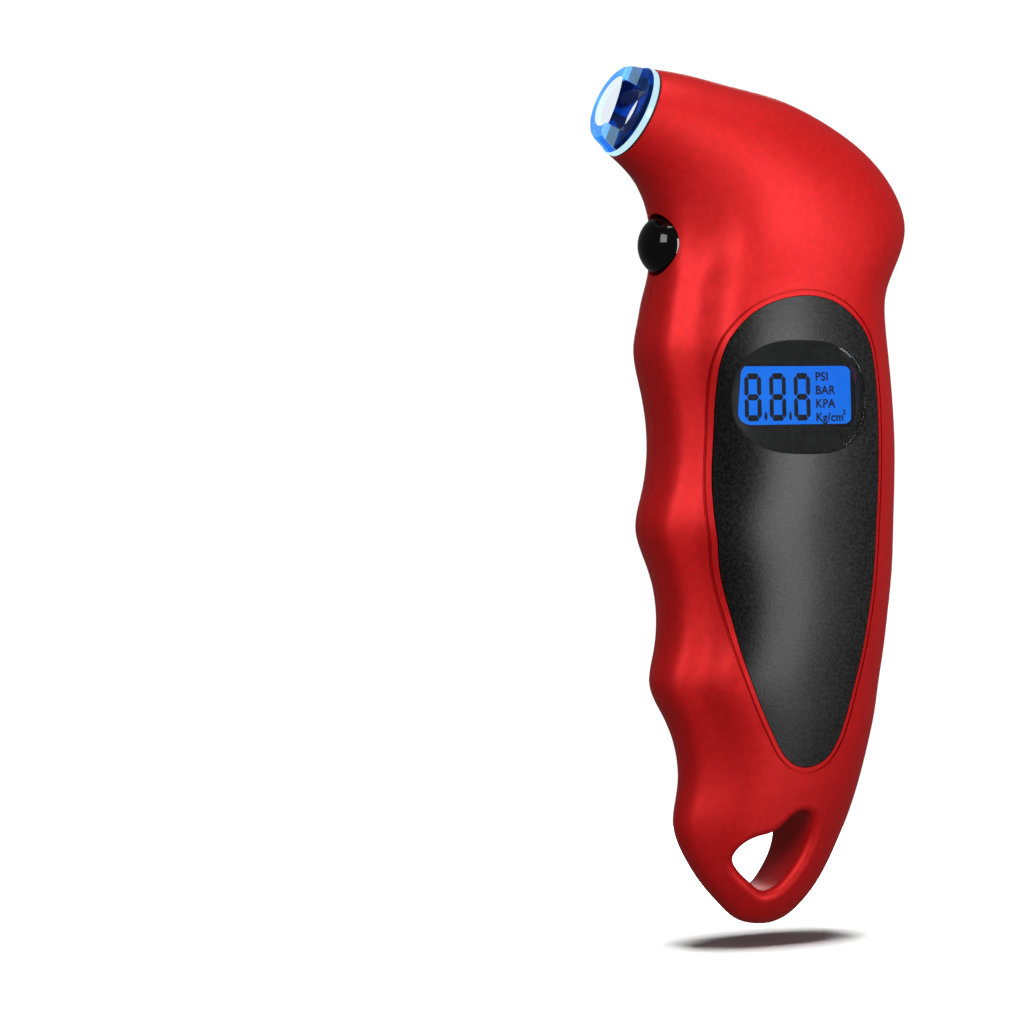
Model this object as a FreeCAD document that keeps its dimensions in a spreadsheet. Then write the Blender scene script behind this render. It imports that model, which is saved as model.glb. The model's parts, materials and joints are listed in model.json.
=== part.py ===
import FreeCAD, Part
import Sketcher
import math
import os
from functools import lru_cache
from FreeCAD import Placement, Rotation, Vector

# Pistol-shaped digital tire pressure gauge, in millimetres.
#
# +Z runs up the handle to the nozzle, the nozzle and the finger grip face -X, the display faces -Y.
# The housing splits on the plane Y = 0 into a front and a rear shell. The origin is the middle of the
# footprint at the level of the lowest point, the round end of the handle with the lanyard hole.

# --- driving dimensions -------------------------------------------------------------------------------

DIMENSIONS = [
    # alias, value, meaning
    ("overall_thickness", 31.0, "front to back at the display"),
    ("wall", 2.0, "shell wall"),
    ("seam_width", 0.12, "visible gap between the shells"),
    ("seam_depth", 0.6, "depth of that gap"),
    ("tongue_reach", 1.0, "how far the front shell's tongue enters the rear shell"),
    ("mouth_x", -21.5, "centre of the nozzle mouth"),
    ("mouth_z", 130.53, "centre of the nozzle mouth"),
    ("mouth_radius", 7.78, "housing edge round the nozzle"),
    ("nozzle_tilt", 22.3, "degrees the nozzle points above level"),
    ("gasket_gap", 0.35, "black gasket between housing and nozzle flange"),
    ("flange_radius", 7.6, "clear nozzle flange"),
    ("tip_radius", 6.25, "clear nozzle at its end face"),
    ("tip_reach", 4.7, "end face of the nozzle above the mouth"),
    ("neck_radius", 5.6, "clear tube inside the housing"),
    ("neck_depth", 6.0, "how deep that tube goes"),
    ("stem_bore", 4.1, "radius of the bore that takes the valve stem"),
    ("seat_bore", 4.6, "wider bore behind the shoulder that holds the rubber seal"),
    ("notch_depth", 2.8, "depth of the notch in the nozzle's rim"),
    ("notch_offset", 1.3, "distance of the notch's wall from the axis"),
    ("seal_face", 0.8, "depth of the rubber seal's face below the mouth"),
    ("seal_thickness", 2.2, "rubber seal"),
    ("chuck_radius", 6.6, "flange of the air chuck"),
    ("cup_radius", 5.7, "outside of the chuck's sensor cup"),
    ("sensor_radius", 4.4, "pressure sensor can"),
    ("led_radius", 1.5, "nozzle lamp"),
    ("led_offset", 4.95, "nozzle lamp's distance from the nozzle axis"),
    ("button_x", -15.9, "plane where the button's dome starts"),
    ("button_z", 109.8, "centre of the button"),
    ("button_radius", 4.95, "button dome and barrel"),
    ("button_dome", 4.35, "height of the dome"),
    ("button_travel", 0.35, "stroke of the button"),
    ("button_gap", 0.08, "radial play of the button in its sleeve"),
    ("panel_inset", 1.0, "thickness of the front panel"),
    ("panel_gap", 0.12, "gap round the front panel"),
    ("bead_inner", 0.75, "panel edge to the groove of the red bead"),
    ("bead_width", 0.35, "width of that groove"),
    ("bead_depth", 0.35, "depth of that groove"),
    ("lens_x", 1.1, "centre of the lens"),
    ("lens_z", 85.35, "centre of the lens"),
    ("lens_width", 23.6, "lens"),
    ("lens_height", 18.0, "lens"),
    ("lens_recess", 0.1, "lens surface below the panel surface"),
    ("lens_gap", 0.03, "gap round the lens"),
    ("mask_thickness", 0.12, "black printed border behind the lens"),
    ("view_x", 1.5, "centre of the viewing area"),
    ("view_z", 85.8, "centre of the viewing area"),
    ("view_width", 21.0, "viewing area"),
    ("view_height", 9.4, "viewing area"),
    ("mask_window_x", 0.95, "middle of the printed border's window"),
    ("mask_window_width", 20.4, "window in the printed border"),
    ("mask_window_height", 9.9, "window in the printed border"),
    ("lcd_tilt", 1.5, "degrees the display sits askew, anticlockwise"),
    ("lcd_face", -10.8, "front face of the display glass"),
    ("lcd_glass_depth", 1.8, "display glass"),
    ("lcd_width", 21.8, "display glass"),
    ("lcd_height", 12.4, "display glass"),
    ("light_depth", 2.2, "backlight guide"),
    ("light_height", 9.6, "backlight guide"),
    ("frame_lip", 0.3, "display frame in front of the glass"),
    ("frame_rim", 0.5, "side wall of the display frame"),
    ("board_face", -5.0, "front face of the circuit board"),
    ("board_depth", 1.2, "circuit board"),
    ("cell_radius", 5.8, "button cell"),
    ("cell_height", 5.4, "button cell"),
    ("cell_x", 3.5, "centre line of the cells"),
    ("cell_y", 2.9, "centre line of the cells"),
    ("cell_z", 38.6, "bottom of the lowest cell"),
    ("bay_wall", 1.2, "battery bay"),
    ("door_inset", 1.0, "thickness of the battery door"),
    ("door_gap", 0.15, "gap round the battery door"),
    ("door_x", 3.5, "centre of the battery door"),
    ("door_z", 47.6, "centre of the battery door"),
    ("door_width", 17.0, "battery door"),
    ("door_height", 30.0, "battery door"),
    ("screw_shank", 1.1, "housing screw"),
    ("screw_head", 2.1, "housing screw head"),
    ("boss_radius", 2.7, "screw boss"),
]

# Stations of the housing from the nozzle mouth down to the tip of the handle. Each is a section plane
# through the two edges of the side outline, so the sections lean over in the head and lie level in
# the handle: inner x, inner z, outer x, outer z, half thickness, and how far the section has changed
# from an ellipse (0) to the handle's finger-grip section (1).
STATIONS = [
    (-22.4, 121.8, -12.5, 137.2, 8.9, 0.0),
    (-20.3, 119.7, -5.3, 136.0, 10.0, 0.0),
    (-18.9, 117.3, 3.4, 134.5, 11.2, 0.1),
    (-18.0, 114.8, 11.9, 131.4, 12.3, 0.3),
    (-17.6, 112.3, 19.6, 127.0, 13.1, 0.55),
    (-17.5, 109.7, 25.4, 121.2, 13.5, 0.8),
    (-17.7, 107.0, 27.97, 114.4, 13.8, 0.95),
    (-18.1, 104.2, 26.1, 108.3, 14.3, 1.0),
    (-18.9, 101.0, 23.9, 103.3, 14.8, 1.0),
    (-19.5, 97.8, 23.6, 98.9, 15.2, 1.0),
    (-20.2, 93.2, 24.2, 93.2, 15.5, 1.0),
    (-18.9, 86.5, 24.9, 86.5, 15.5, 1.0),
    (-17.8, 78.6, 25.4, 78.6, 15.4, 1.0),
    (-18.8, 70.3, 25.5, 70.3, 15.0, 1.0),
    (-20.0, 64.3, 25.5, 64.3, 14.5, 1.0),
    (-17.9, 58.0, 25.3, 58.0, 13.9, 1.0),
    (-16.4, 50.0, 24.5, 50.0, 13.1, 1.0),
    (-17.1, 44.0, 23.8, 44.0, 12.5, 1.0),
    (-17.8, 39.4, 23.1, 39.4, 12.0, 1.0),
    (-15.4, 34.2, 22.3, 34.2, 11.4, 0.9),
    (-13.2, 28.5, 21.0, 28.5, 10.5, 0.8),
    (-13.0, 22.5, 19.4, 22.5, 9.4, 0.7),
    (-13.9, 16.5, 17.3, 16.5, 8.1, 0.6),
    (-12.2, 11.8, 15.1, 11.8, 6.95, 0.5),
    (-9.0, 7.0, 12.3, 7.0, 5.6, 0.3),
    (-5.5, 3.2, 9.0, 3.2, 4.0, 0.1),
    (-2.5, 0.85, 5.8, 0.85, 2.2, 0.0),
]
CAVITY_STATIONS = 23          # the hollow ends at this station, above the lanyard hole
TIP_X = 2.0                   # lowest point of the handle

# The handle's section: share of the way from the finger edge to the outer edge, share of the half
# thickness. A slim lobe for the fingers, a shallow valley, then the broad face with the display.
GRIP_SECTION = [(0, 0), (0.010, 0.21), (0.034, 0.37), (0.073, 0.465), (0.115, 0.56), (0.150, 0.69),
                (0.190, 0.815), (0.25, 0.905), (0.34, 0.965), (0.47, 1.0), (0.60, 0.985),
                (0.72, 0.925), (0.82, 0.80), (0.905, 0.60), (0.967, 0.35), (1, 0)]

# Front panel in front view, x and z, anticlockwise from the top.
PANEL_OUTLINE = [(0.8, 101.4), (-3.8, 100.4), (-7.5, 98.5), (-10.05, 96.0), (-11.65, 93.3), (-12.3, 90.3),
                 (-12.35, 87.4), (-12.2, 82.0), (-12.25, 76.6), (-12.65, 67.8), (-12.3, 63.5),
                 (-11.4, 58.7), (-9.5, 51.2), (-8.0, 45.0), (-5.4, 38.2), (-2.0, 31.8), (0.0, 28.6),
                 (1.9, 26.9), (4.3, 26.2), (7.3, 26.9), (9.6, 29.2), (11.1, 32.6), (12.4, 37.1), (13.8, 42.5),
                 (14.9, 48.4), (15.7, 54.8), (16.1, 61.0), (16.2, 67.8), (16.1, 75.5), (16.0, 80.5),
                 (15.8, 86.1), (15.3, 90.6), (14.4, 94.0), (12.5, 96.8), (9.5, 99.3), (5.7, 101.0)]

# Lanyard hole in side view, x and z, anticlockwise from its finger side.
LOOP_HOLE = [(-5.75, 11.4), (-4.5, 9.35), (-2.5, 7.5), (-0.8, 6.15), (0.6, 5.9), (2.4, 6.7), (4.4, 8.8),
             (6.1, 11.4), (7.15, 14.3), (7.3, 17.0), (6.3, 18.55), (4.7, 18.9), (3.0, 18.1), (1.4, 16.65),
             (-0.5, 15.55), (-2.7, 15.05), (-4.6, 14.1), (-5.55, 12.9)]
LOOP_ROUND = 1.3              # soft edge of that hole

SCREWS = [(11.0, 121.0), (19.3, 66.0), (-13.2, 84.5), (5.0, 30.0)]       # x, z of the housing screws
NOZZLE_SLOTS = 3                                                        # air slots under the depressor
BOARD_PINS = [(12.0, 67.0), (-7.8, 67.0), (10.5, 99.0)]                 # x, z of the board's posts
SWITCH_FRONT = 6.3                  # switch face behind the plane of the button's dome
PLUNGER_LENGTH = 2.28
SPRING_COILS = 2.5                  # battery spring
DOOR_SCREW = (3.5, 59.0)            # x, z of the door's captive screw
DOOR_EAR = 2.7                      # radius of the door's boss round that screw
DOOR_EAR_INSET = 2.6                # underside of that boss below the rear surface
HEAD_SUNK = 2.6                     # seat of the housing screws below the rear surface
SCREW_BITE = 6.5                    # how far those screws enter the front bosses
TONGUE_OUTER = 1.25                 # inset of the front shell's tongue
REBATE_OUTER = 1.15                 # inset of the rebate it enters
TONGUE_LOW = 18.6                   # the tongue stops here, above the lanyard hole
BAY_X = (-2.9, 9.9)                 # battery bay, inside
BAY_Z = (36.0, 55.65)
BAY_FLOOR = -3.1
FAR = 20.0                          # beyond the housing on either side

UP = Vector(0, 0, 1)
FRONT = Vector(0, -1, 0)
REAR = Vector(0, 1, 0)
LEFT = Vector(-1, 0, 0)

doc = FreeCAD.newDocument("tire_pressure_gauge")
dims = doc.addObject("Spreadsheet::Sheet", "dims")
for row, (alias, value, meaning) in enumerate(DIMENSIONS, start=1):
    dims.set("A%d" % row, alias)
    dims.set("B%d" % row, str(value))
    dims.setAlias("B%d" % row, alias)
    dims.set("C%d" % row, meaning)
doc.recompute()


def size(expression):
    """Value of a sheet expression such as 'dims.wall + 1', as a plain number."""
    value = dims.evalExpression(str(expression))
    return float(getattr(value, "Value", value))


TILT = math.radians(size("dims.nozzle_tilt"))
MOUTH = Vector(size("dims.mouth_x"), 0, size("dims.mouth_z"))
NOZZLE_AXIS = Vector(-math.cos(TILT), 0, math.sin(TILT))
MOUTH_RISE = Vector(math.sin(TILT), 0, math.cos(TILT))
NOZZLE_PLACE = Placement(MOUTH, Rotation(UP, NOZZLE_AXIS))


# --- the housing's form -------------------------------------------------------------------------------

def all_stations():
    radius = size("dims.mouth_radius")
    low = MOUTH - MOUTH_RISE * radius
    high = MOUTH + MOUTH_RISE * radius
    return [(low.x, low.z, high.x, high.z, radius, 0.0)] + STATIONS


def half_section(points):
    """Smooth curve through (along, out) points that leaves its two ends square to the parting plane."""
    ring = [Vector(x, y, 0) for x, y in points] + [Vector(x, -y, 0) for x, y in points[-2:0:-1]]
    curve = Part.BSplineCurve()
    curve.interpolate(Points=ring, PeriodicFlag=True, Parameters=[float(i) for i in range(len(ring) + 1)])
    curve.segment(0.0, float(len(points) - 1))
    return curve


def inset_section(curve, length, inset):
    """The same curve moved inwards by inset."""
    points = []
    for i in range(len(GRIP_SECTION)):
        point = curve.value(float(i))
        tangent = curve.tangent(float(i))[0]
        moved = point + Vector(tangent.y, -tangent.x, 0) * inset
        points.append((moved.x, moved.y))
    points[0] = (inset, 0)
    points[-1] = (length - inset, 0)
    return half_section(points)


def station_curve(station, inset):
    """Front half of one section of the housing, as the poles of its curve in space."""
    inner_x, inner_z, outer_x, outer_z, half, grip = station
    start = Vector(inner_x, 0, inner_z)
    along = Vector(outer_x, 0, outer_z) - start
    length = along.Length
    along.normalize()
    half *= size("dims.overall_thickness / 31")
    points = []
    for i, (grip_along, grip_out) in enumerate(GRIP_SECTION):
        angle = math.pi * i / (len(GRIP_SECTION) - 1)
        share_along = (1 - math.cos(angle)) / 2 * (1 - grip) + grip_along * grip
        share_out = math.sin(angle) * (1 - grip) + grip_out * grip
        points.append((share_along * length, share_out * half))
    curve = half_section(points)
    if inset:
        curve = inset_section(curve, length, inset)
    poles = [start + along * pole.x - REAR * pole.y for pole in curve.getPoles()]
    return poles, curve


def skin(inset, count, closed_tip):
    """Surface through the first count sections, run down to the round tip when closed_tip is set."""
    made = [station_curve(station, inset) for station in all_stations()[:count]]
    rows = [poles for poles, _ in made]
    section = made[0][1]
    last = len(rows)
    if closed_tip:
        # Two sections mirrored through the tip make the surface level there.
        tip = Vector(TIP_X, 0, inset)
        ghosts = [[Vector(2 * tip.x - p.x, -p.y, p.z) for p in row] for row in (rows[-1], rows[-2])]
        rows += [[tip] * len(rows[0])] + ghosts
    heights = [0.0]
    for row, below in zip(rows[:-1], rows[1:]):
        heights.append(heights[-1] + sum((p - q).Length for p, q in zip(row, below)) / len(row))
    columns = []
    for j in range(len(rows[0])):
        column = Part.BSplineCurve()
        column.interpolate(Points=[row[j] for row in rows], Parameters=heights)
        if closed_tip:
            column.segment(0.0, heights[last])
        columns.append(column)
    poles = [column.getPoles() for column in columns]
    if closed_tip:
        for column in poles:
            column[-1] = tip
    surface = Part.BSplineSurface()
    surface.buildFromPolesMultsKnots(poles, section.getMultiplicities(), columns[0].getMultiplicities(),
                                     section.getKnots(), columns[0].getKnots(), False, False, 3, 3)
    return surface


@lru_cache(maxsize=None)
def front_form(inset, count=None):
    """Solid front half of the housing, moved in by inset. It is closed at the mouth and at Y = 0."""
    closed_tip = count is None
    surface = skin(inset, count or len(STATIONS) + 1, closed_tip)
    u0, u1, v0, v1 = surface.bounds()
    mouth_line = Part.makeLine(surface.value(u0, v0), surface.value(u1, v0))
    mouth = [surface.vIso(v0).toShape(), mouth_line]
    parting = [surface.uIso(u0).toShape(), surface.uIso(u1).toShape(), mouth_line]
    faces = [surface.toShape(), flat_face(mouth)]
    if not closed_tip:
        end_line = Part.makeLine(surface.value(u0, v1), surface.value(u1, v1))
        faces.append(flat_face([surface.vIso(v1).toShape(), end_line]))
        parting.append(end_line)
    faces.append(flat_face(parting))
    shell = Part.makeShell(faces)
    shell.sewShape()
    solid = Part.Solid(shell if shell.ShapeType == "Shell" else shell.Shells[0])
    if solid.Volume < 0:
        solid.reverse()
    return solid


def flat_face(edges):
    return Part.Face(Part.Wire(Part.__sortEdges__(edges)))


def rear(shape):
    """The mirror image behind the parting plane."""
    return shape.mirror(Vector(0, 0, 0), REAR)


# --- outlines in the XZ plane -------------------------------------------------------------------------

def smooth_outline(points, offset=0.0):
    """Closed smooth curve through anticlockwise (x, z) points, moved outwards by offset."""
    curve = Part.BSplineCurve()
    params = [float(i) for i in range(len(points) + 1)]
    curve.interpolate(Points=[Vector(x, 0, z) for x, z in points], PeriodicFlag=True, Parameters=params)
    if not offset:
        return curve.toShape()
    moved = []
    for i in range(len(points)):
        tangent = curve.tangent(float(i))[0]
        point = curve.value(float(i)) + Vector(tangent.z, 0, -tangent.x) * offset
        moved.append((point.x, point.z))
    return smooth_outline(moved)


def prism(edges, front, back):
    """Straight solid along Y over a closed outline, between two Y values."""
    wire = Part.Wire(edges if isinstance(edges, list) else [edges])
    face = Part.Face(wire)
    face.translate(REAR * front)
    return face.extrude(REAR * (back - front))


def panel_outline(offset=0.0):
    return smooth_outline(PANEL_OUTLINE, offset)


def lens_outline(offset=0.0):
    """Superellipse, like a ski goggle."""
    half_width = size("dims.lens_width / 2")
    half_height = size("dims.lens_height / 2")
    points = []
    for i in range(24):
        angle = 2 * math.pi * (i + 0.5) / 24
        x = math.copysign(abs(math.cos(angle)) ** (2 / 2.8), math.cos(angle))
        z = math.copysign(abs(math.sin(angle)) ** (2 / 2.4), math.sin(angle))
        points.append((size("dims.lens_x") + x * half_width, size("dims.lens_z") + z * half_height))
    return smooth_outline(points, offset)


def rounded_outline(x, z, width, height, radius):
    """Rectangle with round corners, centred on x and z."""
    edges = []
    inner_w, inner_h = width / 2 - radius, height / 2 - radius
    corners = [(1, 1, 0), (-1, 1, 90), (-1, -1, 180), (1, -1, 270)]
    ends = []
    for sign_x, sign_z, start in corners:
        centre = Vector(x + sign_x * inner_w, 0, z + sign_z * inner_h)
        arc = [centre + Vector(math.cos(a), 0, math.sin(a)) * radius
               for a in (math.radians(start), math.radians(start + 45), math.radians(start + 90))]
        edges.append(Part.Arc(*arc).toShape())
        ends.append((arc[0], arc[2]))
    for this, following in zip(ends, ends[1:] + ends[:1]):
        edges.append(Part.makeLine(this[1], following[0]))
    return Part.__sortEdges__(edges)


def door_outline(offset=0.0):
    return rounded_outline(size("dims.door_x"), size("dims.door_z"), size("dims.door_width") + 2 * offset,
                           size("dims.door_height") + 2 * offset, 5.0 + offset)


def front_layer(outline, top, bottom=None):
    """What lies inside an outline between two depths below the front surface."""
    block = prism(outline, -FAR, 0).common(front_form(top))
    return block.cut(front_form(bottom)) if bottom is not None else block


def cavity():
    return front_form(size("dims.wall"), CAVITY_STATIONS)


# --- FreeCAD objects ----------------------------------------------------------------------------------

PARTS = []


def keep(obj, label):
    obj.Label = label
    PARTS.append(obj)
    return obj


def feature(label, shape):
    obj = doc.addObject("Part::Feature", label)
    obj.Shape = shape
    return keep(obj, label)


def primitive(kind, name, place=None, **expressions):
    """A Part primitive whose sizes are bound to the sheet."""
    obj = doc.addObject("Part::" + kind, name)
    for prop, expression in expressions.items():
        obj.setExpression(prop, expression)
    if place is not None:
        obj.Placement = place
    return obj


def boolean(kind, name, base, tool):
    obj = doc.addObject("Part::" + kind, name)
    obj.Base, obj.Tool = base, tool
    return obj


def compound(name, members):
    obj = doc.addObject("Part::Compound", name)
    obj.Links = members
    return obj


def origin_plane(body, role):
    return next(item for item in body.Origin.OriginFeatures if item.Role == role)


def sketch_on(body, role, name):
    sketch = body.newObject("Sketcher::SketchObject", name)
    sketch.AttachmentSupport = [(origin_plane(body, role), "")]
    sketch.MapMode = "FlatFace"
    return sketch


def draw_loop(sketch, loop):
    """Closed polygon whose corners are bound to pairs of sheet expressions."""
    first = sketch.GeometryCount
    corners = [Vector(size(a), size(b), 0) for a, b in loop]
    for start, end in zip(corners, corners[1:] + corners[:1]):
        sketch.addGeometry(Part.LineSegment(start, end), False)
    for i, (across, upward) in enumerate(loop):
        line = first + i
        following = first + (i + 1) % len(loop)
        sketch.addConstraint(Sketcher.Constraint("Coincident", line, 2, following, 1))
        for kind, axis, expression in (("DistanceX", -2, across), ("DistanceY", -1, upward)):
            value = size(expression)
            if abs(value) < 1e-9:
                sketch.addConstraint(Sketcher.Constraint("PointOnObject", line, 1, axis))
                continue
            index = sketch.addConstraint(Sketcher.Constraint(kind, -1, 1, line, 1, value))
            sketch.setExpression("Constraints[%d]" % index, str(expression))


def draw_circle(sketch, across, upward, radius):
    circle = Part.Circle(Vector(size(across), size(upward), 0), UP, size(radius))
    index = sketch.addGeometry(circle, False)
    values = (("DistanceX", (-1, 1, index, 3), across), ("DistanceY", (-1, 1, index, 3), upward),
              ("Radius", (index,), radius))
    for kind, where, expression in values:
        constraint = sketch.addConstraint(Sketcher.Constraint(kind, *where, size(expression)))
        sketch.setExpression("Constraints[%d]" % constraint, str(expression))


def turned(label, profile, place=None):
    """Body turned about its own Z axis from a closed (radius, height) profile."""
    body = doc.addObject("PartDesign::Body", label)
    sketch = sketch_on(body, "XZ_Plane", label + "_profile")
    draw_loop(sketch, profile)
    turn = body.newObject("PartDesign::Revolution", label + "_turn")
    turn.Profile = sketch
    turn.ReferenceAxis = (sketch, ["V_Axis"])
    turn.Angle = 360
    body.Tip = turn
    if place is not None:
        body.Placement = place
    return keep(body, label)


def plate(label, loop, back, depth, windows=(), holes=()):
    """Flat body parallel to the display: an (x, z) outline that reaches forward from the plane Y = back."""
    body = doc.addObject("PartDesign::Body", label)
    sketch = sketch_on(body, "XZ_Plane", label + "_outline")
    draw_loop(sketch, loop)
    for window in windows:
        draw_loop(sketch, window)
    for hole in holes:
        draw_circle(sketch, *hole)
    pad = body.newObject("PartDesign::Pad", label + "_pad")
    pad.Profile = sketch
    pad.setExpression("Length", str(depth))
    body.Tip = pad
    body.Placement = Placement(REAR * size(back), Rotation())
    return keep(body, label)


def box_loop(x, z, width, height):
    """Corners of a rectangle centred on two expressions."""
    return [("%s + %s * (%s) / 2" % (x, side_x, width), "%s + %s * (%s) / 2" % (z, side_z, height))
            for side_x, side_z in ((1, 1), (-1, 1), (-1, -1), (1, -1))]


# --- nozzle and air chuck, heights measured out of the mouth along the nozzle axis --------------------

def make_nozzle_tip():
    """Clear plastic nozzle: flange, tapered end, neck that carries the light, notch in its rim."""
    profile = [
        ("dims.seat_bore", "-dims.neck_depth"),
        ("dims.neck_radius", "-dims.neck_depth"),
        ("dims.neck_radius", "dims.gasket_gap"),
        ("dims.flange_radius", "dims.gasket_gap"),
        ("dims.flange_radius", "dims.gasket_gap + 0.8"),
        ("dims.flange_radius - 0.35", "dims.gasket_gap + 1.1"),
        ("dims.tip_radius + 0.3", "dims.tip_reach - 1.1"),
        ("dims.tip_radius - 0.1", "dims.tip_reach - 0.4"),
        ("dims.tip_radius - 0.7", "dims.tip_reach"),
        ("dims.stem_bore + 0.3", "dims.tip_reach"),
        ("dims.stem_bore", "dims.tip_reach - 0.3"),
        ("dims.stem_bore", "-dims.seal_face"),
        ("dims.seat_bore", "-dims.seal_face"),
    ]
    body = turned("nozzle_tip", profile, NOZZLE_PLACE)
    notch = sketch_on(body, "YZ_Plane", "nozzle_notch")
    draw_loop(notch, [("-dims.notch_offset", "dims.tip_reach - dims.notch_depth"),
                      ("-dims.notch_offset", "dims.tip_reach + 1"),
                      ("-dims.flange_radius - 1", "dims.tip_reach + 1"),
                      ("-dims.flange_radius - 1", "dims.tip_reach - dims.notch_depth")])
    cut = body.newObject("PartDesign::Pocket", "nozzle_notch_cut")
    cut.Profile = notch
    cut.Type = "ThroughAll"
    cut.Midplane = True
    body.Tip = cut


def make_nozzle_gasket():
    turned("nozzle_gasket", [("dims.neck_radius + 0.2", 0), ("dims.flange_radius - 0.15", 0),
                             ("dims.flange_radius - 0.15", "dims.gasket_gap"),
                             ("dims.neck_radius + 0.2", "dims.gasket_gap")], NOZZLE_PLACE)


def make_chuck_seal():
    face, back = "-dims.seal_face", "-dims.seal_face - dims.seal_thickness"
    turned("chuck_seal", [(1.7, back), ("dims.seat_bore - 0.02", back), ("dims.seat_bore - 0.02", face),
                          (2.3, face), (1.7, "-dims.seal_face - 0.6")], NOZZLE_PLACE)


def make_valve_depressor():
    """Brass pin that opens the valve core, on a disc with slots for the air."""
    seat = "-dims.seal_face - dims.seal_thickness"
    body = turned("valve_depressor", [(0, seat + " - 1.2"), (2.6, seat + " - 1.2"), (2.6, seat + " - 0.2"),
                                      (0.8, seat + " - 0.2"), (0.8, "-dims.seal_face - 0.35"),
                                      (0.5, "-dims.seal_face - 0.05"), (0, "-dims.seal_face - 0.05")],
                  NOZZLE_PLACE)
    slots = sketch_on(body, "XY_Plane", "depressor_slots")
    for i in range(NOZZLE_SLOTS):
        angle = 2 * math.pi * i / NOZZLE_SLOTS
        draw_circle(slots, round(1.65 * math.cos(angle), 3), round(1.65 * math.sin(angle), 3) or 0.001, 0.5)
    cut = body.newObject("PartDesign::Pocket", "depressor_slot_cut")
    cut.Profile = slots
    cut.Type = "ThroughAll"
    cut.Midplane = True
    body.Tip = cut


def make_chuck_body():
    """Moulded air chuck: spigot in the nozzle, flange held by the shells, neck and sensor cup."""
    neck, seat = "-dims.neck_depth", "-dims.seal_face - dims.seal_thickness"
    flange_back, cup_front, cup_end = "-10.5", "-12.2", "-17.4"
    profile = [
        (0.75, seat + " - 1.2"), (2.65, seat + " - 1.2"), (2.65, seat),
        ("dims.seat_bore - 0.05", seat), ("dims.seat_bore - 0.05", -4.4),
        (3.7, -4.4), (3.7, -5.5), ("dims.seat_bore - 0.05", -5.5), ("dims.seat_bore - 0.05", neck),
        ("dims.chuck_radius", neck), ("dims.chuck_radius", flange_back), (3.1, flange_back),
        (3.1, cup_front), ("dims.cup_radius", cup_front), ("dims.cup_radius", cup_end),
        ("dims.sensor_radius + 0.1", cup_end), ("dims.sensor_radius + 0.1", -13.3), (0.75, -13.3),
    ]
    body = turned("chuck_body", profile, NOZZLE_PLACE)
    pocket = sketch_on(body, "XY_Plane", "led_pocket")
    pocket.AttachmentOffset = Placement(Vector(0, 0, -size("dims.neck_depth")), Rotation())
    draw_circle(pocket, 0.001, "-dims.led_offset", "dims.led_radius + 0.1")
    cut = body.newObject("PartDesign::Pocket", "led_pocket_cut")
    cut.Profile = pocket
    cut.Length = 4.6
    body.Tip = cut


def make_chuck_oring():
    primitive_ring("chuck_oring", 4.15, 0.44, -4.95)


def primitive_ring(label, major, minor, height):
    ring = primitive("Torus", label, NOZZLE_PLACE * Placement(UP * height, Rotation()),
                     Radius1=str(major), Radius2=str(minor))
    keep(ring, label)


def make_nozzle_led():
    """Round lamp in the chuck's pocket, shining into the end of the clear neck."""
    axis = Vector(0, -size("dims.led_offset"), 0)
    dome_centre = -7.8

    def at(height, aside=0.0):
        return NOZZLE_PLACE * Placement(axis + UP * height + Vector(aside, 0, 0), Rotation())

    members = [
        primitive("Cylinder", "led_barrel", at(-10.4), Radius="dims.led_radius", Height="2.6"),
        primitive("Sphere", "led_dome", at(dome_centre), Radius="dims.led_radius"),
        primitive("Cylinder", "led_leg_1", at(-11.6, 0.6), Radius="0.25", Height="1.4"),
        primitive("Cylinder", "led_leg_2", at(-11.6, -0.6), Radius="0.25", Height="1.4"),
    ]
    led = doc.addObject("Part::MultiFuse", "nozzle_led")
    led.Shapes = members
    keep(led, "nozzle_led")


def make_pressure_sensor():
    """Metal can with a short port, four pins behind it."""
    body = turned("pressure_sensor", [(0, -16.9), ("dims.sensor_radius", -16.9), ("dims.sensor_radius", -16.2),
                                      ("dims.sensor_radius - 0.3", -16.2), ("dims.sensor_radius - 0.3", -14.4),
                                      (1.2, -14.4), (1.2, -13.5), (0.5, -13.5), (0.5, -15.5), (0, -15.5)],
                  NOZZLE_PLACE)
    pins = sketch_on(body, "XY_Plane", "sensor_pins")
    pins.AttachmentOffset = Placement(UP * -18.4, Rotation())
    for x, y in ((1.8, 1.8), (-1.8, 1.8), (-1.8, -1.8), (1.8, -1.8)):
        draw_circle(pins, x, y, 0.25)
    pad = body.newObject("PartDesign::Pad", "sensor_pin_pad")
    pad.Profile = pins
    pad.Length = 1.6
    body.Tip = pad


def make_sensor_oring():
    primitive_ring("sensor_oring", 2.6, 0.53, -13.85)


def make_sensor_retainer():
    turned("sensor_retainer", [(3.0, -17.35), (4.45, -17.35), (4.45, -16.92), (3.0, -16.92)], NOZZLE_PLACE)


# --- button and switch --------------------------------------------------------------------------------

def button_place(offset=0.0):
    """Local +Z points out of the housing along the button's axis."""
    origin = Vector(size("dims.button_x") - offset, 0, size("dims.button_z"))
    return Placement(origin, Rotation(UP, LEFT))


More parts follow.
